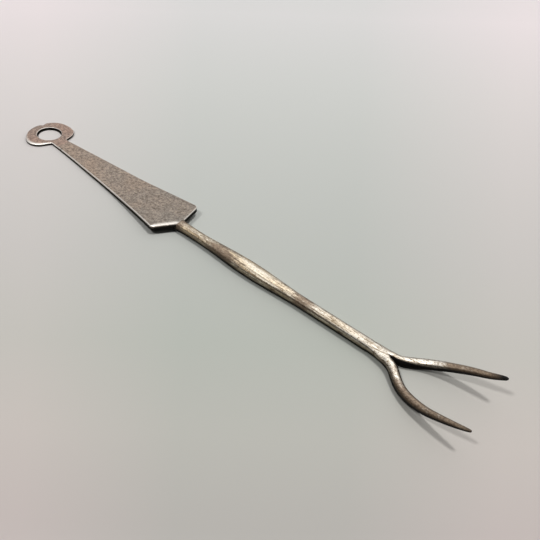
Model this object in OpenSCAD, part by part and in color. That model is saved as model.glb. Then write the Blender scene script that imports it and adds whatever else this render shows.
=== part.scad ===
// Two-tine hearth fork, forged from iron bar and fire-welded from five pieces.
// It lies as on a table. The origin is the middle of the ring's hole, +X runs
// along the shank towards the points, and +Z is up. Sizes are in millimetres.

/* [Ring] */
// Outside diameter of the flat hanging ring
ring_diameter = 33; // [30:0.5:42]
// Diameter of the hole that hangs on a hook
hole_diameter = 18; // [14:0.2:22]
// How far the middle of the rim stands from the middle of the hole, towards the blade
rim_offset = 0.9; // [0:0.1:2]
// Thickness of the ring and of the neck beside it
ring_thickness = 2; // [1.4:0.1:2.6]

/* [Handle] */
// From the middle of the ring's hole to the front of the blade
handle_length = 152.8; // [120:1:190]
// Reach of the neck to the right of the handle's middle line
right_neck = 5.4; // [3.6:0.2:6]
// Reach of the neck to the left of the handle's middle line
left_neck = 4.2; // [3.6:0.2:6]
// Reach of the right shoulder from the handle's middle line
right_shoulder = 16.2; // [12:0.2:19]
// Reach of the left shoulder from the handle's middle line
left_shoulder = 18; // [12:0.2:19]
// How far the right shoulder stands back from the front of the blade
right_setback = 8.4; // [4:0.2:10]
// How far the left shoulder stands back from the front of the blade
left_setback = 4.8; // [4:0.2:10]
// How far the blade's right edge is hollowed in from a straight line
right_hollow = 2.3; // [0:0.1:3]
// How far the right half of the front edge bows forward
front_bulge = 1.1; // [0:0.1:2]
// Radius of the right shoulder's corner
right_corner_radius = 1.5; // [1:0.5:3]
// Radius of the left shoulder's corner, worn rounder
left_corner_radius = 5; // [1:0.5:6]
// From the middle of the ring's hole to the soft bend in the blade
bend_position = 97; // [70:1:110]
// How far the top of the blade has risen at the bend
bend_rise = 1.1; // [0.6:0.1:2]
// Thickness of the blade at the bend
bend_thickness = 2.6; // [2:0.1:3]
// Thickness of the blade at its front
shoulder_thickness = 3.2; // [2.9:0.1:3.6]
// Sideways bend of the handle against the shank, in degrees
handle_turn = 3.1; // [0:0.1:5]

/* [Shank] */
// From the front of the blade to the cleft between the tines
shank_reach = 157.6; // [130:0.2:200]
// Diameter of the shank between the blade and the swell
rear_diameter = 6.5; // [5.6:0.1:7.4]
// Diameter of the shank between the swell and the tines
fore_diameter = 6.8; // [6:0.1:8]
// Width of the swell at its fullest
swell_diameter = 10.1; // [8.5:0.1:13]
// Height of the swell between its flattened top and underside
swell_height = 7.5; // [7:0.1:9]
// From the front of the blade to the middle of the swell
swell_position = 58.5; // [54:0.5:80]
// Length of the swell from end to end
swell_length = 84; // [60:1:100]
// Length of the tongue that laps under the blade
tongue_length = 15; // [10:0.5:22]

/* [Tines] */
// Diameter of a tine at the cleft
cleft_diameter = 5.8; // [5:0.1:6.6]
// Diameter of a tine where it has thinned, before its point
tine_diameter = 5.2; // [4:0.1:5.6]
// Length over which a tine thins from the cleft
thinning_length = 36; // [24:1:44]
// Length of the split root that joins a tine to the shank
root_length = 14; // [8:0.5:18]
// Length over which a tine tapers to its blunt point
point_length = 34; // [24:0.5:40]
// Radius left at the end of the point
point_radius = 0.55; // [0.4:0.05:1]

/* [Right tine] */
// Angle at which the right tine leaves the cleft, in degrees
right_root_angle = 16.5; // [8:0.5:24]
// Forward place of its outward turn
right_turn_reach = 8.4; // [5:0.2:14]
// How far the right tine runs outward before it turns forward
right_turn_spread = 18.6; // [12:0.2:20]
// How far its outward turn pulls it below the shank's axis
right_turn_droop = 6.3; // [3:0.1:9]
// Forward reach of the right point from the cleft
right_reach = 54.5; // [46:0.5:66]
// Sideways place of the right point
right_spread = 20.1; // [14:0.1:24]
// Height of the right point above the shank's axis
right_rise = 11.8; // [6:0.1:16]

/* [Left tine] */
// Angle at which the left tine leaves the cleft, in degrees
left_root_angle = 4; // [2:0.5:24]
// Forward place of its outward turn
left_turn_reach = 6; // [5:0.2:14]
// How far the left tine runs outward before it turns forward
left_turn_spread = 13.6; // [12:0.2:20]
// How far its outward turn pulls it below the shank's axis
left_turn_droop = 5; // [3:0.1:9]
// Forward reach of the left point from the cleft
left_reach = 52.5; // [46:0.5:66]
// Sideways place of the left point
left_spread = 16.2; // [14:0.1:24]
// Height of the left point above the shank's axis
left_rise = 14.3; // [6:0.1:16]

/* [Hidden] */
$fn = 96;
ring_radius = ring_diameter / 2;
half_thickness = ring_thickness / 2;
rear_radius = rear_diameter / 2;
fore_radius = fore_diameter / 2;
swell_radius = swell_diameter / 2;
cleft_radius = cleft_diameter / 2;
tine_radius = tine_diameter / 2;
// Reach of the cutting solids past the faces that they trim
past = 5;

// The ring's underside and the swell's flattened underside lie on one table,
// and the blade's top runs out flush with the top of the shank.
axis_z = swell_height / 2 - half_thickness;
front_top = axis_z + rear_radius;
front_bottom = front_top - shoulder_thickness;
bend_top = half_thickness + bend_rise;
bend_bottom = bend_top - bend_thickness;
bend_radius = 400;
front_x = handle_length * cos(handle_turn);
front_y = -handle_length * sin(handle_turn);

// The neck begins on the ring's rim and its scarf lies just beyond the rim.
function rim_at(v) = rim_offset + sqrt(ring_radius * ring_radius - v * v);
scarf_gap = 4.5;
scarf_place = rim_offset + ring_radius + scarf_gap;
scarf_length = 4;
scarf_top = scarf_place - scarf_length / 2;
scarf_bottom = scarf_place + scarf_length / 2;

shank_end = shank_reach - root_length;
tongue_drop = 0.35;
profile_steps = 40;

// Share of the root's length over which the two halves stay closed
closed_share = 0.55;
root_steps = 8;
tine_steps = 40;
tine_sides = 24;
tine_start_bias = 1.5;
root_pull = 11.4;
right_root_dip = -0.3;
left_root_dip = 0.5;
// The left point is blunter than the right one
right_taper_power = 0.6;
left_taper_power = 0.43;

// A round corner of radius r at b, between the lines from a to b and from b to c
function unit(v) = v / norm(v);
function rounded(a, b, c, r, steps = 8) =
    let (to_a = unit(a - b))
    let (to_c = unit(c - b))
    let (half = acos(to_a * to_c) / 2)
    let (centre = b + unit(to_a + to_c) * r / sin(half))
    let (first = b + to_a * r / tan(half) - centre)
    let (last = b + to_c * r / tan(half) - centre)
    let (sweep = 180 - 2 * half)
    [for (k = [0:steps])
        centre + (first * sin(sweep * (1 - k / steps)) + last * sin(sweep * k / steps)) / sin(sweep)];

// A line from a to b that is bowed to its left by the given depth
function bowed(a, b, depth, steps) =
    let (run = b - a)
    let (left = unit([-run[1], run[0]]))
    [for (k = [0:steps])
        let (t = k / steps)
        a + run * t + left * depth * 4 * t * (1 - t)];
function inner(points) = [for (k = [1:len(points) - 2]) points[k]];

// The blade seen from above, with its neck running back into the ring
neck_right = [rim_at(right_neck), -right_neck];
neck_left = [rim_at(left_neck), left_neck];
shoulder_right = [handle_length - right_setback, -right_shoulder];
shoulder_left = [handle_length - left_setback, left_shoulder];
front_right = [handle_length, -rear_radius];
front_left = [handle_length, rear_radius];
inside_ring = [rim_offset + (ring_radius + hole_diameter / 2) / 2, 0];
edge_steps = 16;
front_steps = 6;

module blade_plan() {
    right_edge = inner(bowed(neck_right, shoulder_right, right_hollow, edge_steps));
    front_edge = inner(bowed(shoulder_right, front_right, -front_bulge, front_steps));
    polygon(concat(
        [inside_ring, neck_right],
        right_edge,
        rounded(right_edge[len(right_edge) - 1], shoulder_right, front_edge[0], right_corner_radius),
        front_edge,
        [front_right, front_left],
        rounded(front_left, shoulder_left, neck_left, left_corner_radius),
        [neck_left]
    ));
}

// Places a solid made along the handle's middle line at the handle's turn
module on_handle() {
    rotate([0, 0, -handle_turn])
        children();
}

// A solid with the given side view, as wide as the shoulders and a little more
module side_solid(points) {
    rotate([90, 0, 0])
        linear_extrude(2 * (right_shoulder + left_shoulder), center = true)
            polygon(points);
}

module plan_solid() {
    translate([0, 0, -ring_thickness])
        linear_extrude(front_top + 2 * ring_thickness)
            blade_plan();
}

// Flat ring with a short neck, scarfed for the weld to the blade
module hanging_ring() {
    color([0.50, 0.45, 0.41])
        on_handle()
            difference() {
                union() {
                    translate([rim_offset, 0, 0])
                        cylinder(h = ring_thickness, d = ring_diameter, center = true);
                    intersection() {
                        plan_solid();
                        side_solid([
                            [0, -half_thickness],
                            [scarf_bottom, -half_thickness],
                            [scarf_top, half_thickness],
                            [0, half_thickness]
                        ]);
                    }
                }
                cylinder(h = ring_thickness + past, d = hole_diameter, center = true);
            }
}

// Tapered flat blade, thin at the neck and thick at the shoulders, with a soft upward bend
module handle_blade() {
    tail_under = [scarf_bottom, -half_thickness];
    front_under = [handle_length, front_bottom];
    front_over = [handle_length, front_top];
    tail_over = [scarf_top, half_thickness];
    color([0.47, 0.44, 0.40])
        on_handle()
            intersection() {
                plan_solid();
                side_solid(concat(
                    [tail_under],
                    rounded(tail_under, [bend_position, bend_bottom], front_under, bend_radius),
                    [front_under, front_over],
                    rounded(front_over, [bend_position, bend_top], tail_over, bend_radius),
                    [tail_over]
                ));
            }
}

function blend(a, b, t) = a + (b - a) * t;

// Radius of the round shank at a distance x from the front of the blade
function swell_share(x) =
    abs(x - swell_position) > swell_length / 2 ? 0
        : 0.5 + 0.5 * cos(360 * (x - swell_position) / swell_length);
function shank_round(x) =
    let (bar_radius = x < swell_position ? rear_radius : fore_radius)
    bar_radius + (swell_radius - bar_radius) * swell_share(x);

module shank_body() {
    intersection() {
        rotate([0, 90, 0])
            rotate_extrude()
                polygon(concat(
                    [[0, -tongue_length], [rear_radius, -tongue_length]],
                    [for (k = [0:profile_steps])
                        let (x = shank_end * k / profile_steps)
                        [shank_round(x), x]],
                    [[0, shank_end]]
                ));
        cube([4 * shank_reach, 2 * swell_diameter, swell_height], center = true);
    }
}

// The space of the blade, cut from the shank so that the tongue fits below it
module blade_space() {
    tail = handle_length - tongue_length - past;
    tail_share = (tail - bend_position) / (handle_length - bend_position);
    side_solid([
        [tail, blend(bend_bottom, front_bottom, tail_share)],
        [handle_length, front_bottom],
        [handle_length, front_top + past],
        [tail, front_top + past]
    ]);
}

// Round bar with a flattened swell, and a scarfed tongue under the blade at its back
module shank() {
    color([0.58, 0.53, 0.46])
        difference() {
            translate([front_x, front_y, axis_z])
                difference() {
                    shank_body();
                    side_solid([
                        [-tongue_length - past, -rear_radius - past],
                        [0, -rear_radius - past],
                        [0, -rear_radius],
                        [-tongue_length, -rear_radius * tongue_drop],
                        [-tongue_length - past, -rear_radius * tongue_drop]
                    ]);
                }
            on_handle()
                blade_space();
        }
}

// Middle line of a tine beyond the cleft, as a curve on four points
function curve(p, t) =
    let (a = blend(p[0], p[1], t))
    let (b = blend(p[1], p[2], t))
    let (c = blend(p[2], p[3], t))
    blend(blend(a, b, t), blend(b, c, t), t);
function heading(p, t) =
    let (a = blend(p[1] - p[0], p[2] - p[1], t))
    let (b = blend(p[2] - p[1], p[3] - p[2], t))
    unit(blend(a, b, t));
function tine_points(root_angle, root_dip, turn, point) = [
    [0, cleft_radius, 0],
    [root_pull * cos(root_angle), cleft_radius + root_pull * sin(root_angle), -root_dip],
    turn,
    point
];

// One cross-section: a middle, a direction, and how far it reaches in, out and up
function section(middle, ahead, inward, outward, height) =
    let (side = unit(cross([0, 0, 1], ahead)))
    let (up = cross(ahead, side))
    [for (k = [0:tine_sides - 1])
        let (a = 360 * k / tine_sides)
        middle + side * cos(a) * (cos(a) > 0 ? outward : inward) + up * sin(a) * height];

function ease(s) = s * s * (3 - 2 * s);
// The outside of the root runs smoothly into the tine's first direction
function root_section(p, s) =
    let (open = s < closed_share ? 0 : ease((s - closed_share) / (1 - closed_share)))
    let (flare = (p[1][1] - p[0][1]) / (p[1][0] - p[0][0]))
    let (half_width = blend(fore_radius, cleft_diameter, ease(s)) - root_length * flare * s * s * (1 - s))
    let (middle = open * cleft_radius)
    section([root_length * (s - 1), middle, 0], [1, 0, 0],
        middle, half_width - middle, blend(fore_radius, cleft_radius, s));

function tine_section(p, taper_power, s) =
    let (t = s * (tine_start_bias - (tine_start_bias - 1) * s))
    let (middle = curve(p, t))
    let (thinned = ease(min(1, norm(middle - p[0]) / thinning_length)))
    let (left = min(1, norm(p[3] - middle) / point_length))
    let (full_radius = blend(cleft_radius, tine_radius, thinned))
    let (r = blend(point_radius, full_radius, pow(left, taper_power)))
    section(middle, heading(p, t), r, r, r);

// A half-round root that closes on the other tine, then a round curved tine
module tine(p, taper_power) {
    rings = concat(
        [for (k = [0:root_steps]) root_section(p, k / root_steps)],
        [for (k = [1:tine_steps]) tine_section(p, taper_power, k / tine_steps)]
    );
    last = len(rings) - 1;
    sides = [for (i = [0:last - 1], k = [0:tine_sides - 1])
        let (a = i * tine_sides + k)
        let (b = i * tine_sides + (k + 1) % tine_sides)
        each [[a, a + tine_sides, b], [b, a + tine_sides, b + tine_sides]]];
    back = [for (k = [0:tine_sides - 1]) k];
    front = [for (k = [0:tine_sides - 1]) last * tine_sides + tine_sides - 1 - k];
    polyhedron([for (r = rings) each r], concat(sides, [back], [front]));
}

module at_cleft() {
    translate([front_x + shank_reach, front_y, axis_z])
        children();
}

// The tine on the left as seen from the handle
module left_tine() {
    color([0.55, 0.50, 0.45])
        at_cleft()
            tine(
                tine_points(left_root_angle, left_root_dip,
                    [left_turn_reach, left_turn_spread, -left_turn_droop],
                    [left_reach, left_spread, left_rise]),
                left_taper_power
            );
}

// The tine on the right as seen from the handle
module right_tine() {
    color([0.55, 0.50, 0.45])
        at_cleft()
            mirror([0, 1, 0])
                tine(
                    tine_points(right_root_angle, right_root_dip,
                        [right_turn_reach, right_turn_spread, -right_turn_droop],
                        [right_reach, right_spread, right_rise]),
                    right_taper_power
                );
}

hanging_ring();
handle_blade();
shank();
left_tine();
right_tine();
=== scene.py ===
import math

import bpy
from mathutils import Matrix, Vector, noise


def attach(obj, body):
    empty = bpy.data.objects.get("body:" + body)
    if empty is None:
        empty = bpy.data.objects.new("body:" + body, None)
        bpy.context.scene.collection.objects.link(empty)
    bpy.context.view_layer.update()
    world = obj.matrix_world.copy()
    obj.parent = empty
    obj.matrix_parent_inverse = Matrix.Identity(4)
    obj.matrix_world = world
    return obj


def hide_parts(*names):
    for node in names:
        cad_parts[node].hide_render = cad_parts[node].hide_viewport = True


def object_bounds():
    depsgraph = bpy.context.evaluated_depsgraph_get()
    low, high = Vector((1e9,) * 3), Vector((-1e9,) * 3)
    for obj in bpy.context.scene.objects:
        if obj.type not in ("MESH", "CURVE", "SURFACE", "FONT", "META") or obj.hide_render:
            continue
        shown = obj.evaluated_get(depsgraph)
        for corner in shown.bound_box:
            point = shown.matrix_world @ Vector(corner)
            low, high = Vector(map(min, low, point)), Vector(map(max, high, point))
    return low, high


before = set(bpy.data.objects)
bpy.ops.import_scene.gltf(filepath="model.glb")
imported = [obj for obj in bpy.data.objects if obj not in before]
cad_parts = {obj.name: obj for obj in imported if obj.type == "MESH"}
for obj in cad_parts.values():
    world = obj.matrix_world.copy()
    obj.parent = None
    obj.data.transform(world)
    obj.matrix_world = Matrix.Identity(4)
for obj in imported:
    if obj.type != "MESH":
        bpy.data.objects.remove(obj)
solid_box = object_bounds()


# Hanging ring: a flat iron washer with a short neck, cut and filed by hand.
# Its rim is uneven and nicked, its edges are rubbed bright, with a painted highlight along
# the near rim, its sides are black scale darkened further as painted shade, and the neck
# is scarfed and fire-welded to the handle's blade.
MM = 0.001
ring_radius, hole_radius, rim_offset, half_plate = 16.5, 9.0, 0.9, 1.0
scarf_top, scarf_bottom = 19.9, 23.9
handle_turn = math.radians(3.1)
neck_reach = {1: 4.7, -1: 5.4}
neck_start = {s: rim_offset + math.sqrt(ring_radius**2 - neck_reach[s] ** 2) for s in (1, -1)}
shoulder = {1: (147.7, 18.5), -1: (144.4, 16.2)}
edge_hollow = {1: -0.35, -1: 2.3}
edge_fullness = {1: 0.0, -1: 0.5}
fullest_at, fullness_width = 58.0, 26.0
dents = ((0.10, 3.1, 0.06), (0.33, 7.7, 0.025))
rim_swells = (
    (-90, 26, 0.75), (-29, 27, -3.4), (23, 13, -1.0), (60, 22, 0.75),
    (92, 20, -0.24), (132, 28, 0.40), (166, 6, -1.6), (178, 12, -0.2),
)
hole_shift, hole_oval = 0.45, 0.6


def fading(gap, width):
    """1 at a place, falling softly away to nothing about two widths from it."""
    return math.exp(-((gap / width) ** 2))


def clamped(share):
    """A share kept between 0 and 1."""
    return min(1.0, max(0.0, share))


def on_handle(u, v, w):
    """A point along, across and above the handle, which is turned a little against the shank."""
    c, s = math.cos(handle_turn), math.sin(handle_turn)
    return Vector((u * c + v * s, -u * s + v * c, w))


def hammer_dents(u, v):
    """Shallow unevenness that the hammer left in a flat face: broad dents, and smaller ones among them."""
    return sum(depth * noise.noise(Vector((u * close, v * close, shift))) for close, shift, depth in dents)


def worn_edge(inset, radius):
    """How far a rounded edge has dropped at this distance in from the rim."""
    if inset >= radius:
        return 0.0
    inset = max(inset, 0.0)
    return radius - math.sqrt(radius**2 - (radius - inset) ** 2)


def long_edge(u, side):
    """How far the neck or the blade reaches to one side of the handle's middle line."""
    t = (u - neck_start[side]) / (shoulder[side][0] - neck_start[side])
    straight = neck_reach[side] + (shoulder[side][1] - neck_reach[side]) * t
    hollow = edge_hollow[side] * 4 * t * (1 - t)
    return straight - hollow + edge_fullness[side] * fading(u - fullest_at, fullness_width)


def rim_wander(angle):
    """The ring isn't quite round: it is fuller on two sides, flat beside the neck and nicked at the end."""
    total = 0.0
    for middle, width, depth in rim_swells:
        off = (math.degrees(angle) - middle + 180) % 360 - 180
        total += depth * fading(off, width)
    return total


def hole_edge(angle):
    """The punched hole is a little longer than it is wide."""
    return hole_radius + hole_shift * math.cos(angle) + hole_oval * math.cos(2 * angle)


def ring_reach(angle, scarf):
    """From the middle of the hole to the plate's edge: the rim, or the neck where it runs further out."""
    neck_sweep, neck_inside, step = 0.7, 10.0, 0.1
    rim = ring_radius + rim_wander(angle)
    reach = rim_offset * math.cos(angle) + math.sqrt(rim**2 - (rim_offset * math.sin(angle)) ** 2)
    if abs(angle) < neck_sweep:
        side = 1 if angle >= 0 else -1
        u = scarf
        while u > neck_inside and u * math.tan(abs(angle)) > long_edge(u, side):
            u -= step
        reach = max(reach, u / math.cos(angle))
    return reach


def edge_distance(u, v, outline):
    """Distance from a point to an outline, and the mark of the outline's nearest stretch."""
    nearest, mark = 1e9, 0.0
    for (au, av, am), (bu, bv, bm) in zip(outline, outline[1:]):
        du, dv = bu - au, bv - av
        t = clamped(((u - au) * du + (v - av) * dv) / (du * du + dv * dv))
        gap = math.hypot(u - au - t * du, v - av - t * dv)
        if gap < nearest:
            nearest, mark = gap, am + (bm - am) * t
    return nearest, mark


def forged_piece(name, rows, marks, closed=False):
    """A closed mesh lofted through rows of points in millimetres, with its wear and painted light kept per
    point.
    """
    sharp_from = math.radians(50)
    count, sides = len(rows), len(rows[0])
    faces = []
    for i in range(count if closed else count - 1):
        here, ahead = i * sides, ((i + 1) % count) * sides
        for j in range(sides):
            k = (j + 1) % sides
            faces.append((here + j, here + k, ahead + k, ahead + j))
    if not closed:
        faces.append(tuple(range(sides - 1, -1, -1)))
        faces.append(tuple((count - 1) * sides + j for j in range(sides)))
    mesh = bpy.data.meshes.new(name)
    mesh.from_pydata([tuple(p * MM) for row in rows for p in row], [], faces)
    mesh.validate()
    mesh.update()
    mesh.shade_smooth()
    mesh.set_sharp_from_angle(angle=sharp_from)
    # Per point: rubbed wear with painted highlight, grime with painted shade, and stains.
    for index, mark in enumerate(("worn", "grime_and_shade", "stained")):
        layer = mesh.attributes.new(mark, "FLOAT", "POINT")
        layer.data.foreach_set("value", [m[index] for row in marks for m in row])
    piece = bpy.data.objects.new(name, mesh)
    bpy.context.scene.collection.objects.link(piece)
    return piece


def new_node(tree, kind, settings=None, **values):
    """A node with its settings, and the values of its unlinked sockets."""
    node = tree.nodes.new(kind)
    for key, value in (settings or {}).items():
        setattr(node, key, value)
    for key, value in values.items():
        node.inputs[key.replace("_", " ")].default_value = value
    return node


def ramp(tree, source, stops):
    """Colours or greys spread along a value."""
    node = tree.nodes.new("ShaderNodeValToRGB")
    while len(node.color_ramp.elements) < len(stops):
        node.color_ramp.elements.new(0.5)
    for element, (place, colour) in zip(node.color_ramp.elements, stops):
        element.position = place
        element.color = (*colour, 1.0) if isinstance(colour, tuple) else (colour, colour, colour, 1.0)
    tree.links.new(source, node.inputs["Fac"])
    return node.outputs["Color"]


def mixed(tree, share, first, second, how="MIX"):
    """Two colours mixed by a share. Each of the three is a linked socket or a fixed value."""
    node = new_node(tree, "ShaderNodeMix", {"data_type": "RGBA", "blend_type": how})
    for socket, value in ((node.inputs[0], share), (node.inputs[6], first), (node.inputs[7], second)):
        if isinstance(value, bpy.types.NodeSocket):
            tree.links.new(value, socket)
        elif isinstance(value, tuple):
            socket.default_value = (*value, 1.0)
        else:
            socket.default_value = value
    return node.outputs[2]


def grain(tree, stretch, scale, detail, roughness, shift):
    """Noise in millimetres, drawn out along the piece where stretch is small in x."""
    place = tree.nodes.new("ShaderNodeTexCoord")
    turn = tree.nodes.new("ShaderNodeMapping")
    turn.inputs["Location"].default_value = (shift, shift * 0.7, shift * 1.3)
    turn.inputs["Scale"].default_value = tuple(1000.0 * s for s in stretch)
    tree.links.new(place.outputs["Object"], turn.inputs["Vector"])
    node = new_node(tree, "ShaderNodeTexNoise", Scale=scale, Detail=detail, Roughness=roughness)
    tree.links.new(turn.outputs["Vector"], node.inputs["Vector"])
    return node.outputs["Fac"]


def wear_mark(tree, name):
    """One of the marks that the mesh keeps per point."""
    return new_node(tree, "ShaderNodeAttribute", {"attribute_name": name}).outputs["Fac"]


def along_fork(tree, start, end):
    """How far along the fork a point lies between two places, from 0 to 1."""
    place = tree.nodes.new("ShaderNodeTexCoord")
    split = tree.nodes.new("ShaderNodeSeparateXYZ")
    tree.links.new(place.outputs["Object"], split.inputs["Vector"])
    share = new_node(tree, "ShaderNodeMapRange", From_Min=start, From_Max=end)
    tree.links.new(split.outputs["X"], share.inputs["Value"])
    return share.outputs["Result"]


def start_material(name):
    """A new material with its node tree and its shader."""
    material = bpy.data.materials.new(name)
    material.use_nodes = True
    tree = material.node_tree
    return material, tree, tree.nodes["Principled BSDF"]


def add_bump(tree, shader, height, depth):
    """Roughens a surface by a pattern, with the depth in millimetres."""
    bump = new_node(tree, "ShaderNodeBump", Strength=1.0, Distance=depth * MM)
    tree.links.new(height, bump.inputs["Height"])
    tree.links.new(bump.outputs["Normal"], shader.inputs["Normal"])


def flat_iron_skin(name, cool, warm, shift):
    """Dull grey-brown forged skin, mottled and pitted, with rubbed edges that carry a painted highlight, and
    black sides darkened further as painted shade.
    """
    rubbed_sheen_iron, black_scale_and_shade = (0.60, 0.57, 0.53), (0.010, 0.008, 0.006)
    material, tree, shader = start_material(name)
    patches = grain(tree, stretch=(1, 1, 1), scale=0.05, detail=2.0, roughness=0.5, shift=shift)
    mottle = grain(tree, stretch=(0.8, 1, 1), scale=0.58, detail=6.0, roughness=0.80, shift=shift + 11)
    specks = grain(tree, stretch=(1, 1, 1), scale=1.2, detail=3.0, roughness=0.6, shift=shift + 23)
    skin = mixed(tree, ramp(tree, patches, [(0.36, 0.0), (0.64, 1.0)]), cool, warm)
    shade = ramp(tree, mottle, [
        (0.38, (0.29, 0.265, 0.24)), (0.50, (0.68, 0.685, 0.69)), (0.61, (1.03, 1.035, 1.04)),
    ])
    pits = ramp(tree, specks, [(0.34, (0.50, 0.45, 0.41)), (0.47, 1.0)])
    greyer = ramp(tree, along_fork(tree, 0.02, 0.15), [(0.0, 1.0), (1.0, (0.82, 0.91, 0.97))])
    for pattern in (shade, pits, greyer):
        skin = mixed(tree, 1.0, skin, pattern, "MULTIPLY")
    rubbed_and_sheen = ramp(tree, wear_mark(tree, "worn"), [(0.2, 0.0), (0.8, 1.0)])
    grime_and_shade = wear_mark(tree, "grime_and_shade")
    # Rubbed wear and painted highlight lighten the skin; black scale and painted shade darken it.
    skin = mixed(tree, rubbed_and_sheen, skin, rubbed_sheen_iron)
    skin = mixed(tree, grime_and_shade, skin, black_scale_and_shade)
    tree.links.new(skin, shader.inputs["Base Color"])
    gloss = ramp(tree, mottle, [(0.30, 0.62), (0.70, 0.50)])
    gloss = mixed(tree, rubbed_and_sheen, gloss, (0.33, 0.33, 0.33))
    gloss = mixed(tree, grime_and_shade, gloss, (0.70, 0.70, 0.70))
    tree.links.new(gloss, shader.inputs["Roughness"])
    tree.links.new(ramp(tree, rubbed_and_sheen, [(0.0, 0.35), (1.0, 0.95)]), shader.inputs["Metallic"])
    tree.links.new(ramp(tree, grime_and_shade, [(0.0, 0.5), (1.0, 0.1)]), shader.inputs["Specular IOR Level"])
    add_bump(tree, shader, mottle, 0.12)
    return material


hole_insets = (0.0, 0.05, 0.12, 0.22, 0.36, 0.55)
rim_insets = (1.1, 0.75, 0.5, 0.3, 0.15, 0.05, 0.0)
under_insets = (0.0, 0.3, 1.0)
rim_wall_shares = (0.06, 0.9)
face_steps = 7
hole_lip, under_edge, under_hole_edge = 0.8, 0.6, 0.12
hole_wall = ((-0.8, hole_lip), (0.66, 0.0))
rim_round, rim_drop, near_drop, hole_round = 1.0, 0.25, 0.35, 0.28
# The near rim gets a painted highlight on top of the rubbed edge.
rim_rub, near_sheen, near_sheen_width = 0.6, 0.85, 2.2
hole_rub, hole_rub_width, seldom_rubbed = 0.75, 0.4, 0.45
near_turn, neck_clear = 0.35, 0.45
# Sides and underside of the plates: black scale, darkened further as painted shade.
black_side_and_shade, dark_under_shade = (0.0, 1.0, 0.0), (0.0, 0.8, 0.0)
rim_angles = list(range(21, 180, 3)) + [a + 0.5 for a in range(158, 178)]
neck_angles = [0.8, 2.5, 4.5, 6.5, 8.5, 10.5, 12, 13, 14, 15, 16, 17, 18, 19, 20]
near_neck_angles = [-22, -23, -25.5, -26.5, -28]
ring_angles = [-math.pi] + [math.radians(a) for a in near_neck_angles]
for side in (-1, 1):
    for scarf in (scarf_top, scarf_bottom):
        ring_angles.append(side * math.atan2(long_edge(scarf, side), scarf))
    ring_angles += [side * math.radians(a) for a in neck_angles + rim_angles]
ring_angles = sorted(set(round(a, 5) for a in ring_angles))

rim_line = []
for angle in ring_angles:
    side = 1 if angle > 0 else -1
    if abs(angle) > math.atan2(long_edge(scarf_bottom, side), scarf_bottom) - 1e-4:
        reach = ring_reach(angle, scarf_bottom)
        rim_line.append((reach * math.cos(angle), reach * math.sin(angle), 0.0))
neck_break = next(
    i for i, (here, ahead) in enumerate(zip(rim_line, rim_line[1:]))
    if here[1] < 0 < ahead[1] and here[0] > 0
)
rim_line = rim_line[neck_break + 1:] + rim_line[:neck_break + 1]


def ring_point(r, angle, w):
    """A point at a distance and angle from the middle of the hole, and at a height."""
    return on_handle(r * math.cos(angle), r * math.sin(angle), w)


ring_rows, ring_marks = [], []
for angle in ring_angles:
    row, marks = [], []
    near = max(0.0, -math.sin(angle - near_turn)) ** 2 if abs(angle) > neck_clear else 0.0
    handled = seldom_rubbed if 0.2 < angle < 1.1 or angle < -2.4 else 1.0
    top_reach, low_reach = ring_reach(angle, scarf_top), ring_reach(angle, scarf_bottom)
    hole_reach = hole_edge(angle)
    inside, outside = hole_reach + hole_insets[-1], top_reach - rim_insets[0]
    reaches = [hole_reach + d for d in hole_insets]
    reaches += [inside + (outside - inside) * k / face_steps for k in range(1, face_steps)]
    reaches += [top_reach - d for d in rim_insets]
    for r in reaches:
        u, v = r * math.cos(angle), r * math.sin(angle)
        rim, hole = edge_distance(u, v, rim_line)[0], r - hole_reach
        drop = worn_edge(rim, rim_round) * (rim_drop + near_drop * near) + worn_edge(hole, hole_round)
        row.append(on_handle(u, v, half_plate - drop + hammer_dents(u, v) * min(1.0, rim)))
        # Rubbed rim and hole edges, plus a painted highlight along the near rim.
        rub_and_sheen = max(
            handled * fading(rim, rim_rub),
            hole_rub * fading(hole, hole_rub_width),
            near_sheen * near * fading(rim, near_sheen_width),
        )
        marks.append((rub_and_sheen, 0.0, 0.0))
    start, end = row[-1].z, under_edge - half_plate
    for share in rim_wall_shares:
        r = top_reach + (low_reach - top_reach) * share
        row.append(ring_point(r, angle, start + (end - start) * share))
        marks.append(black_side_and_shade)
    for d in under_insets:
        row.append(ring_point(low_reach - d, angle, worn_edge(d, under_edge) - half_plate))
        marks.append(dark_under_shade)
    for d in under_insets[::-1]:
        r = hole_reach - hole_lip + d
        row.append(ring_point(r, angle, worn_edge(d, under_hole_edge) - half_plate))
        marks.append(dark_under_shade)
    for w, inset in hole_wall:
        row.append(ring_point(hole_reach - inset, angle, w))
        marks.append(black_side_and_shade)
    ring_rows.append(row)
    ring_marks.append(marks)

hanging_ring = forged_piece("forged_hanging_ring", ring_rows, ring_marks, closed=True)
hanging_ring.data.materials.append(
    flat_iron_skin("ring_iron", (0.36, 0.265, 0.213), (0.42, 0.282, 0.217), 4.0)
)
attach(hanging_ring, "root")
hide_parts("hanging_ring")


# Handle blade: iron bar hammered flat, thin at the ring and thick at its two shoulders.
# It lies flat for most of its length and then bends up to the shank. Its long edges
# are rounded by use and its near front edge is filed to a broad bevel, rubbed bright with a
# painted highlight; a painted shade band blackens the bevel's lower lip, and the sides are
# black scale darkened further as painted shade.
handle_length, rear_radius = 152.8, 3.25
corner_radius = {1: 3.8, -1: 2.8}
front_bow = {1: 0.0, -1: -0.2}
bend_at, bend_ease = 97.0, 11.0
bend_top, front_top = 2.1, 6.0
bend_under, front_under = -0.5, 2.8
long_steps, corner_steps, front_steps = 60, 12, 40
seam_at, seam_width, seam_length, seam_dirt = (24.65, -5.0), 0.5, 1.4, 0.9


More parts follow.
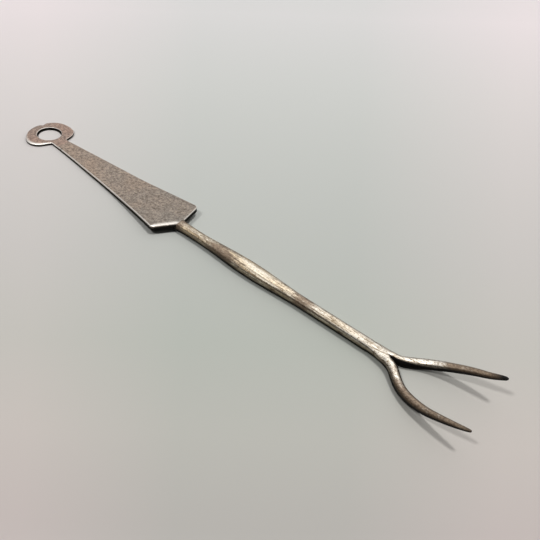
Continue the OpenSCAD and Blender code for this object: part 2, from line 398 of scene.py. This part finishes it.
def bent(u, tail_u, tail_w, bend_w, front_w):
    """Height of the blade's top or underside, which runs straight, bends softly and rises to the front."""
    flat = (bend_w - tail_w) / (bend_at - tail_u)
    steep = (front_w - bend_w) / (handle_length - bend_at)
    past = u - bend_at
    if abs(past) < bend_ease:
        return bend_w + flat * past + (steep - flat) * (past + bend_ease) ** 2 / (4 * bend_ease)
    return bend_w + (flat if past < 0 else steep) * past


def blade_top(u):
    """Height of the blade's top face."""
    return bent(u, scarf_top, half_plate, bend_top, front_top)


def blade_under(u):
    """Height of the blade's underside."""
    return bent(u, scarf_bottom, -half_plate, bend_under, front_under)


def side_outline(side):
    """One side of the blade from the neck round the shoulder to the shank, marked 1 along the front edge."""
    su, sv = shoulder[side]
    fu, fv = handle_length, rear_radius
    run = math.hypot(fu - su, fv - sv)
    out_u, out_v = (sv - fv) / run, (fu - su) / run
    front = []
    for k in range(front_steps + 1):
        t = k / front_steps
        bow = front_bow[side] * 4 * t * (1 - t)
        front.append(Vector((su + (fu - su) * t + out_u * bow, sv + (fv - sv) * t + out_v * bow)))
    r, behind = corner_radius[side], 2
    along = Vector((1.0, (long_edge(su, side) - long_edge(su - behind, side)) / behind)).normalized()
    away = (front[2] - front[0]).normalized()
    corner = Vector((su, sv))
    half = (math.pi - along.angle(away)) / 2
    centre = corner + (away - along).normalized() * r / math.sin(half)
    first, last = corner - along * r / math.tan(half), corner + away * r / math.tan(half)
    start = scarf_top - 6
    line = []
    for k in range(long_steps + 1):
        u = start + (first.x - start) * k / long_steps
        line.append((u, long_edge(u, side), 0.0))
    from_angle = math.atan2(first.y - centre.y, first.x - centre.x)
    to_angle = math.atan2(last.y - centre.y, last.x - centre.x)
    for k in range(1, corner_steps):
        a = from_angle + (to_angle - from_angle) * k / corner_steps
        line.append((centre.x + r * math.cos(a), centre.y + r * math.sin(a), k / corner_steps))
    line += [(p.x, p.y, 1.0) for p in front if p.x > last.x]
    return line


outlines = {side: side_outline(side) for side in (1, -1)}


def blade_edge(u, side):
    """How far the blade reaches to one side at a place along it."""
    line = outlines[side]
    for (au, av, _), (bu, bv, _) in zip(line, line[1:]):
        if bu >= u:
            return av + (bv - av) * (u - au) / (bu - au)
    return line[-1][1]


def weld_seam(u, v):
    """Dirt in the short open end of the weld, at the near edge of the neck."""
    across, along = (u - seam_at[0]) / seam_width, (v - seam_at[1]) / seam_length
    return seam_dirt * math.exp(-(across**2) - along**2)


# Near edges: a rubbed line with a painted highlight, broad on the front bevel, and a painted shade band at
# the bevel's lower lip.
far_rub, near_edge_rub_and_sheen, edge_rub_width = 0.7, 0.68, 0.5
near_line, bevel_line, bevel_dulling, bevel_inside, bevel_outside = 0.4, 0.85, 0.10, 1.6, 0.1
painted_shade_lip, painted_shade_lip_fade = 0.7, 0.4


def blade_wear(side, inset, front):
    """How rubbed the top is, with a painted highlight along the near edges, and how black with painted shade
    under the near front bevel, at a distance in from a long edge (front 0) or a front edge (1).
    """
    if side > 0:
        return far_rub * fading(inset, edge_rub_width), 0.0
    past = inset - near_line - bevel_line * front
    width = edge_rub_width + (bevel_inside if past > 0 else bevel_outside) * front
    rub_and_sheen = (near_edge_rub_and_sheen - bevel_dulling * front) * fading(past, width)
    return rub_and_sheen, front * clamped((painted_shade_lip - inset) / painted_shade_lip_fade)


edge_insets = (0.0, 0.06, 0.16, 0.32, 0.55, 0.85, 1.25, 1.8, 2.6, 4.0)
long_bevel = {1: (0.4, 0.4), -1: (0.8, 0.55)}
front_bevel = {1: (0.8, 0.6), -1: (3.6, 2.2)}
blade_wall_shares, under_shares, under_lift = (0.05, 0.92), (1.0, 0.93, 0.5), 0.15
middle_columns, lean_step, dents_from = 14, 0.1, 2
rear_stations, front_stations, front_zone, crowding = 60, 44, 140.0, 1.3
blade_rows, blade_marks = [], []
for k in range(rear_stations + front_stations + 1):
    if k < rear_stations:
        share = (k / rear_stations) ** crowding
        u = scarf_top + (front_zone - scarf_top) * share
        low_u = scarf_bottom + (front_zone - scarf_bottom) * share
    else:
        u = low_u = front_zone + (handle_length - front_zone) * (k - rear_stations) / front_stations
    reach = {}
    for side in (1, -1):
        edge = blade_edge(u, side)
        lean = (edge - blade_edge(u - lean_step, side)) / lean_step
        widen = min(math.hypot(1, lean), 0.5 * edge / edge_insets[-1])
        reach[side] = [side * (edge - d * widen) for d in edge_insets]
    left, right = reach[1], reach[-1][::-1]
    across = left + [
        left[-1] + (right[0] - left[-1]) * j / middle_columns for j in range(1, middle_columns)
    ] + right
    row, marks = [], []
    for v in across:
        side = 1 if v >= 0 else -1
        inset, front = edge_distance(u, abs(v), outlines[side])
        broad, deep = (a + (b - a) * front for a, b in zip(long_bevel[side], front_bevel[side]))
        drop = worn_edge(inset, broad) * deep / broad
        dented = hammer_dents(u, v) * min(1.0, inset / dents_from)
        row.append(on_handle(u, v, blade_top(u) - drop + dented))
        rub_and_sheen, painted_shade = blade_wear(side, inset, front)
        marks.append((rub_and_sheen, max(painted_shade, weld_seam(u, v)), 0.0))
    corners = {1: row[0], -1: row[-1]}
    for side in (-1, 1):
        edge, low_edge = blade_edge(u, side), blade_edge(low_u, side)
        top_w, low_w = corners[side].z, blade_under(low_u) + under_lift
        points = []
        for share in blade_wall_shares:
            v = side * (edge + (low_edge - edge) * share)
            points.append(on_handle(u + (low_u - u) * share, v, top_w + (low_w - top_w) * share))
        for share in under_shares:
            w = low_w if share == 1.0 else blade_under(low_u)
            points.append(on_handle(low_u, side * (low_edge * share), w))
        row += points if side < 0 else points[::-1]
        marks += [black_side_and_shade] * len(points)
    blade_rows.append(row)
    blade_marks.append(marks)

handle_blade = forged_piece("forged_handle_blade", blade_rows, blade_marks)
handle_blade.data.materials.append(
    flat_iron_skin("blade_iron", (0.365, 0.283, 0.222), (0.415, 0.302, 0.224), 31.0)
)
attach(handle_blade, "root")
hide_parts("handle_blade")


# Shank: round iron bar with a swell that is hammered flat above and below.
# Its back end is drawn to a tongue that laps under the blade. Hands have rubbed its
# top bright in streaks, with a painted highlight on top of the swell, and it is browned
# at the weld and in patches. Painted shade darkens its sides and blackens its underside,
# and two painted dark lines run along the near side of the swell.
fore_radius, swell_radius, swell_half_height = 3.4, 5.05, 3.75
shank_reach, root_length, tongue_length, tongue_end = 157.6, 14.0, 15.0, 0.35
swell_at, swell_span = 58.5, 84.0
squareness, swell_squareness, weld_squareness, weld_length = 2.2, 0.5, 0.8, 16.0
weld_flare, flare_length = 0.35, 5.0
unevenness, uneven_along, uneven_round, quiet_end = 0.012, 0.07, 1.3, 12.0
clearance = 0.02
shank_length = shank_reach - root_length
blade_front = on_handle(handle_length, 0, 0)
shank_origin = Vector((blade_front.x, blade_front.y, swell_half_height - half_plate))


def bar_radius(x):
    """Half the bar's width at a distance from the blade."""
    bar = rear_radius if x < swell_at else fore_radius
    if abs(x - swell_at) > swell_span / 2:
        return bar
    return bar + (swell_radius - bar) * (0.5 + 0.5 * math.cos(2 * math.pi * (x - swell_at) / swell_span))


def bar_section(x, sides):
    """Points round the bar at a distance from the blade, squarer at the blade and flattened at the swell."""
    wide = bar_radius(x)
    tall = min(wide, swell_half_height)
    flat = (wide - tall) / (swell_radius - swell_half_height)
    at_blade = max(0.0, 1 - max(x, 0.0) / weld_length) ** 2
    wide += weld_flare * max(0.0, 1 - max(x, 0.0) / flare_length) ** 2.5
    power = squareness + swell_squareness * flat + weld_squareness * at_blade
    quiet = clamped((shank_length - x) / quiet_end)
    section = []
    for k in range(sides):
        a = 2 * math.pi * k / sides
        c, s = math.cos(a), math.sin(a)
        y = wide * math.copysign(abs(c) ** (2 / power), c)
        z = tall * math.copysign(abs(s) ** (2 / power), s)
        place = Vector((x * uneven_along, uneven_round * c, uneven_round * s))
        uneven = 1 - unevenness * quiet * (1 + noise.noise(place))
        section.append(Vector((x, y * uneven, z * uneven)))
    return section


def under_blade(point):
    """Keeps a point of the tongue below the blade and above the scarf cut."""
    x = point.x
    cut = -rear_radius * (1 + (tongue_end - 1) * min(1.0, -x / tongue_length))
    place = shank_origin + Vector((x, point.y, max(point.z, cut)))
    back = Matrix.Rotation(handle_turn, 3, "Z") @ place
    return on_handle(back.x, back.y, min(back.z, blade_under(back.x) - clearance))


side_from, side_fade, under_from, under_fade = 0.45, 0.4, 0.02, 0.38


def side_shade(s):
    """Painted shade: half dark on the bar's sides and black under it, by the height of a point in its
    section.
    """
    return 0.5 * clamped((side_from - s) / side_fade) + 0.5 * clamped((under_from - s) / under_fade)


rear_stain, rear_stain_length = 0.5, 50
stains = ((38, 10, 0.7), (100, 8.5, 0.95), (1.0, 2.4, 0.45))
# Behind the swell the near top is browned, partly stain and partly painted shade.
brown_at, brown_width, near_brown_and_shade, brown_drop = 43, 16, 0.9, 0.2
# A painted highlight with some polish: the top of the swell is lightened.
polish_sheen_at, polish_sheen_width, top_at, top_width = 62, 18, 1.7, 0.6
# Two painted dark lines of shade along the near side of the swell.
dark_lines_from, dark_lines_in, dark_lines_to, dark_lines_out = 36, 12, 132, 14
dark_line_turn_from, dark_line_turn, dark_line_twist, dark_line_turn_most = 49, 1.93, 0.0075, 2.15
painted_dark_lines = ((0.0, 0.66, 0.12), (0.46, 0.62, 0.14))
far_lift, near_lift, near_lift_height, under_sooner = 0.35, 0.15, 0.2, 1.8


def bar_marks(x, sides):
    """Wear and painted light round the bar at one place: rubbed with a painted highlight on top of the swell,
    painted shade on the sides and below and two painted dark lines on the near side, and browned at the weld,
    behind the swell and before the tines, the near brown behind the swell partly painted shade."""
    stain = rear_stain * max(0.0, 1 - x / rear_stain_length)
    for place, width, dark in stains:
        stain += dark * fading(x - place, width)
    behind_swell, polish_and_sheen = fading(x - brown_at, brown_width), fading(x - polish_sheen_at, polish_sheen_width)
    dark_lines_share = clamped((x - dark_lines_from) / dark_lines_in) * clamped((dark_lines_to - x) / dark_lines_out)
    dark_line_at = min(dark_line_turn_most, dark_line_turn + dark_line_twist * (x - dark_line_turn_from))
    marks = []
    for k in range(sides):
        a = 2 * math.pi * k / sides
        c, s = math.cos(a), math.sin(a)
        rubbed_and_sheen = polish_and_sheen * max(0.0, 1 - ((a - top_at) / top_width) ** 2)
        browned = stain + near_brown_and_shade * behind_swell * max(0.0, -c) ** 0.5 * max(0.0, s)
        if c > 0:
            painted_shade = side_shade(s + far_lift)
        else:
            low = under_sooner * s if s < 0 else s + near_lift * dark_lines_share * min(1.0, s / near_lift_height)
            painted_shade = side_shade(low - brown_drop * behind_swell)
        for past, dark, width in painted_dark_lines:
            painted_shade = max(painted_shade, dark * dark_lines_share * fading(a - (dark_line_at + past), width))
        marks.append((rubbed_and_sheen, painted_shade, min(1.0, browned)))
    return marks


bar_sides = 80
tongue_stations, body_stations = 8, 150
lean_length, far_lean, near_lean = 3.0, 0.33, 0.6
shank_rows, shank_marks = [], []
for k in range(tongue_stations + 1):
    x = -tongue_length * (1 - k / tongue_stations) - clearance
    shank_rows.append([under_blade(p) for p in bar_section(x, bar_sides)])
    shank_marks.append(bar_marks(x, bar_sides))
for k in range(body_stations + 1):
    x = shank_length * k / body_stations
    lean = max(0.0, 1 - x / lean_length)
    row = []
    for p in bar_section(x, bar_sides):
        slope = far_lean if p.y > 0 else near_lean
        back = p.y * math.tan(handle_turn) - slope * max(0.0, abs(p.y) - rear_radius)
        row.append(shank_origin + p + Vector((lean * back, 0, 0)))
    shank_rows.append(row)
    shank_marks.append(bar_marks(x, bar_sides))


def handled_iron_skin(name):
    """Bar iron rubbed bright along its length, with fine streaks and grain and soft brown stains, painted
    shade on its sides and painted black below.
    """
    yellow_iron, grey_iron, tine_grey = (0.46, 0.365, 0.24), (0.52, 0.47, 0.39), (0.52, 0.488, 0.44)
    polished_sheen_iron, black_scale_and_shade = (0.66, 0.62, 0.54), (0.008, 0.007, 0.006)
    dark_brown, light_brown = (0.102, 0.071, 0.049), (0.222, 0.166, 0.116)
    material, tree, shader = start_material(name)
    streaks = grain(tree, stretch=(0.09, 1, 1), scale=1.7, detail=4.0, roughness=0.62, shift=2.0)
    specks = grain(tree, stretch=(0.5, 1, 1), scale=1.6, detail=3.0, roughness=0.6, shift=19.0)
    tints = grain(tree, stretch=(0.10, 1, 1), scale=0.45, detail=2.0, roughness=0.5, shift=11.0)
    blots = grain(tree, stretch=(0.6, 1, 1), scale=0.40, detail=4.0, roughness=0.65, shift=27.0)
    skin = mixed(tree, ramp(tree, tints, [(0.38, 0.0), (0.60, 1.0)]), yellow_iron, grey_iron)
    skin = mixed(tree, along_fork(tree, 0.20, 0.34), skin, tine_grey)
    dull_streaks = ramp(tree, streaks, [(0.38, (0.34, 0.295, 0.24)), (0.54, 1.0)])
    dull_specks = ramp(tree, specks, [(0.36, (0.42, 0.37, 0.30)), (0.48, 1.0)])
    for pattern in (dull_streaks, dull_specks):
        skin = mixed(tree, 1.0, skin, pattern, "MULTIPLY")
    polish_and_sheen = ramp(tree, wear_mark(tree, "worn"), [(0.0, 0.0), (1.0, 0.3)])
    skin = mixed(tree, polish_and_sheen, skin, polished_sheen_iron)
    spread = new_node(tree, "ShaderNodeMath", {"operation": "MULTIPLY_ADD"})
    tree.links.new(wear_mark(tree, "stained"), spread.inputs[0])
    spread.inputs[1].default_value = 0.45
    tree.links.new(blots, spread.inputs[2])
    stain = ramp(tree, spread.outputs[0], [(0.60, 0.0), (0.90, 1.0)])
    brown = mixed(tree, ramp(tree, specks, [(0.38, 0.0), (0.60, 1.0)]), dark_brown, light_brown)
    skin = mixed(tree, stain, skin, brown)
    grime_and_shade = wear_mark(tree, "grime_and_shade")
    # Painted shade: half dark on the sides, black below; the tines' soot blackens here too.
    shaded_side = ramp(tree, grime_and_shade, [(0.0, 0.0), (0.5, 1.0)])
    below = ramp(tree, grime_and_shade, [(0.5, 0.0), (1.0, 1.0)])
    skin = mixed(tree, shaded_side, skin, mixed(tree, 1.0, skin, (0.60, 0.565, 0.52), "MULTIPLY"))
    skin = mixed(tree, below, skin, black_scale_and_shade)
    tree.links.new(skin, shader.inputs["Base Color"])
    gloss = ramp(tree, streaks, [(0.36, 0.36), (0.56, 0.21)])
    gloss = mixed(tree, stain, gloss, (0.33, 0.33, 0.33))
    gloss = mixed(tree, below, gloss, (0.85, 0.85, 0.85))
    tree.links.new(gloss, shader.inputs["Roughness"])
    tree.links.new(ramp(tree, stain, [(0.0, 0.95), (1.0, 0.7)]), shader.inputs["Metallic"])
    add_bump(tree, shader, mixed(tree, 0.5, streaks, specks), 0.03)
    return material


shank = forged_piece("forged_shank", shank_rows, shank_marks)
shank.data.materials.append(handled_iron_skin("shank_iron"))
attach(shank, "root")
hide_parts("shank")


# Tines: the end of the bar is split, and each half is drawn round, swept outward and turned up.
# The two roots stay closed on each other up to the cleft. Painted shade darkens them below,
# on the near tine's outer side and on the inner sides near the cleft, and the fire has
# browned and darkened the points.
cleft_radius, tine_radius, point_radius = 2.9, 2.6, 0.55
thinning_length, point_length, root_pull, closed_share = 36.0, 34.0, 11.4, 0.62
tuck_start, tuck_length, root_squareness = 0.2, 6.0, 6
tine_unevenness, tine_uneven_along = 0.02, 0.16
root_brown, brown_shade = 0.1, 0.3
gathered_length, gathered_shade, close_length, close_shade = 26.0, 0.7, 9.0, 1.1
soot_length, soot_full, burnt_length, burnt = 24.0, 1.1, 6.0, 0.5
tine_sides, root_stations, tine_stations = 40, 16, 90
cleft = shank_origin + Vector((shank_reach, 0, 0))
tine_shapes = {
    1: {
        "angle": 4.0, "dip": 0.5, "turn": (6.0, 13.6, -5.0), "point": (52.5, 16.2, 14.3), "power": 0.43,
        "slim": 0.8, "tuck": 0.7, "sag": (9.0, 6.0, 0.5),
        "brown": (20.0, 30.0), "shade": 0.36, "outside": 0.0, "soot": 0.55,
    },
    -1: {
        "angle": 16.5, "dip": -0.3, "turn": (8.4, 18.6, -6.3), "point": (54.5, 20.1, 11.8), "power": 0.6,
        "slim": 0.0, "tuck": 0.0, "sag": (26.0, 8.0, 0.35),
        "brown": (2.0, 22.0), "shade": 0.48, "outside": 0.3, "soot": 0.24,
    },
}


def ease(s):
    """A share from 0 to 1 that starts and ends softly."""
    return s * s * (3 - 2 * s)


def tine_section(middle, ahead, inward, outward, height, squareness=2.0):
    """Points round a tine, with its inner side squarer where the two roots still lie on each other."""
    side = Vector((0, 0, 1)).cross(ahead).normalized()
    up = ahead.cross(side)
    section = []
    for k in range(tine_sides):
        a = 2 * math.pi * k / tine_sides
        c, s = math.cos(a), math.sin(a)
        across, rise = c * outward, s * height
        if c < 0:
            across = -inward * abs(c) ** (2 / squareness)
            rise = height * math.copysign(abs(s) ** (2 / squareness), s)
        section.append(middle + side * across + up * rise)
    return section


def tine_marks(shape, along, dark, gathered, close):
    """Marks round a tine at one place: brown along it, painted shade below, on the near tine's outer side and
    where the two tines meet, sooty.
    """
    marks = []
    for k in range(tine_sides):
        a = 2 * math.pi * k / tine_sides
        # Painted shade: below, on the near tine's outer side, and on the inner sides near the cleft.
        shaded = shape["shade"] * ease(min(1.0, brown_shade + along))
        shaded += shape["outside"] * gathered * max(0.0, math.cos(a))
        shaded += (gathered_shade * gathered + close_shade * close) * max(0.0, -math.cos(a))
        marks.append((0.0, max(side_shade(math.sin(a) - shaded), dark), along))
    return marks


def tine_rows(side):
    """Sections of one tine from the shank's end to its point, slimmer and lower at the cleft where it is
    tucked in, and sagging a little before its point, with the wear of each."""
    shape = tine_shapes[side]
    angle = math.radians(shape["angle"])
    p = [
        Vector((0, cleft_radius, 0)),
        Vector((root_pull * math.cos(angle), cleft_radius + root_pull * math.sin(angle), -shape["dip"])),
        Vector(shape["turn"]),
        Vector(shape["point"]),
    ]
    rows, marks = [], []
    for k in range(root_stations + 1):
        s = k / root_stations
        parted = max(0.0, (s - closed_share) / (1 - closed_share))
        tucked = ease(max(0.0, (s - tuck_start) / (1 - tuck_start)))
        half_width = fore_radius + (2 * cleft_radius - fore_radius) * ease(s)
        half_width -= root_length * math.tan(angle) * s * s * (1 - s)
        half_width -= shape["slim"] * tucked
        middle = ease(parted) ** 1.5 * (half_width - cleft_radius)
        height = fore_radius + (cleft_radius - fore_radius) * s
        rows.append(tine_section(
            Vector((root_length * (s - 1), middle, -shape["tuck"] * tucked)), Vector((1, 0, 0)),
            middle, half_width - middle, height, 2 + root_squareness * (1 - parted),
        ))
        marks.append(tine_marks(shape, root_brown, 0.0, parted, parted))
    for k in range(1, tine_stations + 1):
        t = k / tine_stations * (1.5 - 0.5 * k / tine_stations)
        a, b, c = p[0].lerp(p[1], t), p[1].lerp(p[2], t), p[2].lerp(p[3], t)
        middle = a.lerp(b, t).lerp(b.lerp(c, t), t)
        ahead = (b.lerp(c, t) - a.lerp(b, t)).normalized()
        gone, left = (middle - p[0]).length, (p[3] - middle).length
        full = cleft_radius + (tine_radius - cleft_radius) * ease(min(1.0, gone / thinning_length))
        r = point_radius + (full - point_radius) * min(1.0, left / point_length) ** shape["power"]
        r *= 1 - tine_unevenness * (1 + noise.noise(Vector((left * tine_uneven_along, side * 5.0, 2.0))))
        tucked = fading(gone, tuck_length)
        slim = shape["slim"] * tucked
        place, width, depth = shape["sag"]
        middle.z -= depth * fading(left - place, width) + shape["tuck"] * tucked
        middle.y -= slim
        rows.append(tine_section(middle, ahead, r - slim, r, r))
        gone = (middle - p[0]).length
        start, full_brown = shape["brown"]
        browned = ease(clamped((gone - start) / (full_brown - start)))
        dark = shape["soot"] * clamped(soot_full - left / soot_length) + burnt * fading(left, burnt_length)
        marks.append(tine_marks(
            shape, root_brown + (1 - root_brown) * browned, dark,
            fading(gone, gathered_length), fading(gone, close_length),
        ))
    for row in rows:
        for q in row:
            q.y *= side
            q += cleft
    if side < 0:
        rows, marks = [row[::-1] for row in rows], [ring[::-1] for ring in marks]
    return rows, marks


fire_browned = handled_iron_skin("tine_iron")
for side, node in ((1, "left_tine"), (-1, "right_tine")):
    rows, marks = tine_rows(side)
    tine = forged_piece("forged_" + node, rows, marks)
    tine.data.materials.append(fire_browned)
    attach(tine, "root")
    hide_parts(node)


# Table: a smooth pale painted top under the fork, which touches it at its lowest points.
# Its grey is lighter towards the back, a painted falloff of light, and a little greener along
# the middle of the view, and it fades to one plain pale grey further away.
view_turn, view_height, view_roll = math.radians(41.096), math.radians(41.04), math.radians(2.144)
view_point, view_distance = Vector((0.216133, 0.003954, -0.002349)), 0.409577
table_height, table_size = solid_box[0][2], 40.0
bpy.ops.mesh.primitive_plane_add(size=table_size, location=(view_point.x, view_point.y, table_height))
table = bpy.context.object
table.name = "table_top"
table_paint, tree, paint = start_material("table_paint")
paint.inputs["Roughness"].default_value = 0.75
paint.inputs["Specular IOR Level"].default_value = 0.15
place = tree.nodes.new("ShaderNodeTexCoord")
turn = tree.nodes.new("ShaderNodeMapping")
turn.inputs["Rotation"].default_value = (0, 0, -view_turn)
tree.links.new(place.outputs["Object"], turn.inputs["Vector"])
split = tree.nodes.new("ShaderNodeSeparateXYZ")
tree.links.new(turn.outputs["Vector"], split.inputs["Vector"])
depth = new_node(tree, "ShaderNodeMapRange", From_Min=-0.6, From_Max=1.0)
tree.links.new(split.outputs["Y"], depth.inputs["Value"])
# Painted light: the grey is brighter towards the back of the table.
painted_light_falloff = ramp(tree, depth.outputs["Result"], [
    (0.160, (0.70, 0.67, 0.65)),
    (0.274, (0.627, 0.558, 0.531)),
    (0.302, (0.66, 0.605, 0.564)),
    (0.337, (0.633, 0.61, 0.564)),
    (0.381, (0.674, 0.642, 0.612)),
    (0.518, (0.828, 0.774, 0.756)),
    (0.617, (0.935, 0.85, 0.853)),
    (0.800, (0.86, 0.82, 0.81)),
])
away = new_node(tree, "ShaderNodeMapRange", From_Min=-0.2, From_Max=0.5, To_Min=0.259, To_Max=0.787)
tree.links.new(split.outputs["Y"], away.inputs["Value"])
aside = new_node(tree, "ShaderNodeMath", {"operation": "DIVIDE"})
tree.links.new(split.outputs["X"], aside.inputs[0])
tree.links.new(away.outputs[0], aside.inputs[1])
apart = new_node(tree, "ShaderNodeMath", {"operation": "ABSOLUTE"})
tree.links.new(aside.outputs[0], apart.inputs[0])
greener = ramp(tree, apart.outputs[0], [(0.12, (0.856, 0.923, 0.905)), (0.34, 1.0)])
plain = ramp(tree, depth.outputs["Result"], [(0.14, 1.0), (0.25, 0.0), (0.68, 0.0), (0.85, 1.0)])
greener = mixed(tree, plain, greener, (1.0, 1.0, 1.0))
tree.links.new(mixed(tree, 1.0, painted_light_falloff, greener, "MULTIPLY"), paint.inputs["Base Color"])
table.data.materials.append(table_paint)


# Light: two soft lamps high above the table, the stronger beyond the points and the weaker
# behind the viewer, in a room that is bright above and beyond and dark on the near side.
def lamp(name, towards, strength, spread):
    """A lamp far off in one direction, with its spread in degrees."""
    data = bpy.data.lights.new(name, "SUN")
    data.energy = strength
    data.angle = math.radians(spread)
    light = bpy.data.objects.new(name, data)
    light.rotation_euler = Vector(towards).to_track_quat("Z", "Y").to_euler()
    bpy.context.scene.collection.objects.link(light)


def facing(tree, place, direction):
    """How squarely each part of the room lies in one direction."""
    node = new_node(tree, "ShaderNodeVectorMath", {"operation": "DOT_PRODUCT"})
    tree.links.new(place.outputs["Generated"], node.inputs[0])
    node.inputs[1].default_value = direction
    return node.outputs["Value"]


lamp("far_lamp", towards=(0.233, 0.143, 1.0), strength=1.13, spread=7.0)
lamp("near_lamp", towards=(-0.133, -0.555, 1.0), strength=0.85, spread=6.0)
room = bpy.data.worlds.new("studio_room")
room.use_nodes = True
bpy.context.scene.world = room
tree = room.node_tree
sky = tree.nodes["Background"]
place = tree.nodes.new("ShaderNodeTexCoord")
overhead = ramp(tree, facing(tree, place, (-0.05, 0.30, 0.952)), [
    (0.0, 0.05), (0.2, 0.10), (0.36, 0.20), (0.50, 0.34), (0.67, 0.45), (0.77, 0.70), (0.88, 1.0),
])
behind = ramp(tree, facing(tree, place, (-0.50, -0.65, 0.57)), [(0.93, 0.0), (0.98, 0.45)])
bright = mixed(tree, 1.0, overhead, behind, "ADD")
soft = ramp(tree, facing(tree, place, (0.0, 0.82, 0.57)), [
    (0.0, 0.008), (0.25, 0.021), (0.6, 0.142), (1.0, 0.26),
])
rays = tree.nodes.new("ShaderNodeLightPath")
mirrored = new_node(tree, "ShaderNodeMath", {"operation": "MAXIMUM"})
tree.links.new(rays.outputs["Is Glossy Ray"], mirrored.inputs[0])
tree.links.new(rays.outputs["Is Transmission Ray"], mirrored.inputs[1])
around = mixed(tree, mirrored.outputs[0], soft, bright)
tree.links.new(mixed(tree, rays.outputs["Is Camera Ray"], around, (0.29, 0.285, 0.28)), sky.inputs["Color"])
sky.inputs["Strength"].default_value = 2.7


# Camera: held in the hand above the near side, a little tilted,
# and looking along the fork from the side of its points.
sight = Vector((
    math.sin(view_turn) * math.cos(view_height),
    -math.cos(view_turn) * math.cos(view_height),
    math.sin(view_height),
))
level = Vector((math.cos(view_turn), math.sin(view_turn), 0))
upright = sight.cross(level)
right = level * math.cos(view_roll) + upright * math.sin(view_roll)
up = upright * math.cos(view_roll) - level * math.sin(view_roll)
camera_data = bpy.data.cameras.new("view")
camera_data.lens = 46.66
camera_data.sensor_width = 36.0
camera_data.clip_start = 0.01
camera = bpy.data.objects.new("view", camera_data)
stand = view_point + sight * view_distance
camera.matrix_world = Matrix((
    (right.x, up.x, sight.x, stand.x),
    (right.y, up.y, sight.y, stand.y),
    (right.z, up.z, sight.z, stand.z),
    (0, 0, 0, 1),
))
bpy.context.scene.collection.objects.link(camera)
bpy.context.scene.camera = camera
bpy.context.scene.view_settings.view_transform = "Standard"
